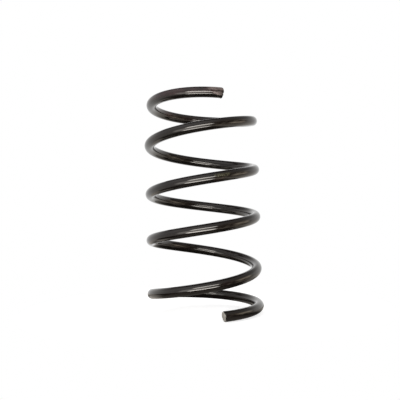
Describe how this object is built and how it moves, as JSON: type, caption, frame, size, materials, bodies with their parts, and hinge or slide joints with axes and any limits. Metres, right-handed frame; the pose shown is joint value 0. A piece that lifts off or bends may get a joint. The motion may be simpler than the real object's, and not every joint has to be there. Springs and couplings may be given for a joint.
{
  "type": "suspension spring",
  "caption": "Helical compression spring of round steel bar, black coated, right-hand wound with open sheared ends, carrying a vehicle's wheel load between two spring seats.",
  "frame": {"origin": "on the coil's axis, level with the lowest point of the wire", "axes": "+Z along the coil's axis from the foot to the head, as it stands in a strut; -Y towards the viewer of the picture, where both sheared ends lie"},
  "size_m": [0.1437, 0.1426, 0.2703],
  "materials": {
    "black_coat": "gloss black stoved paint on shot-peened spring steel"
  },
  "bodies": {
    "root": {"coil_spring": "black_coat"}
  },
  "joints": []
}
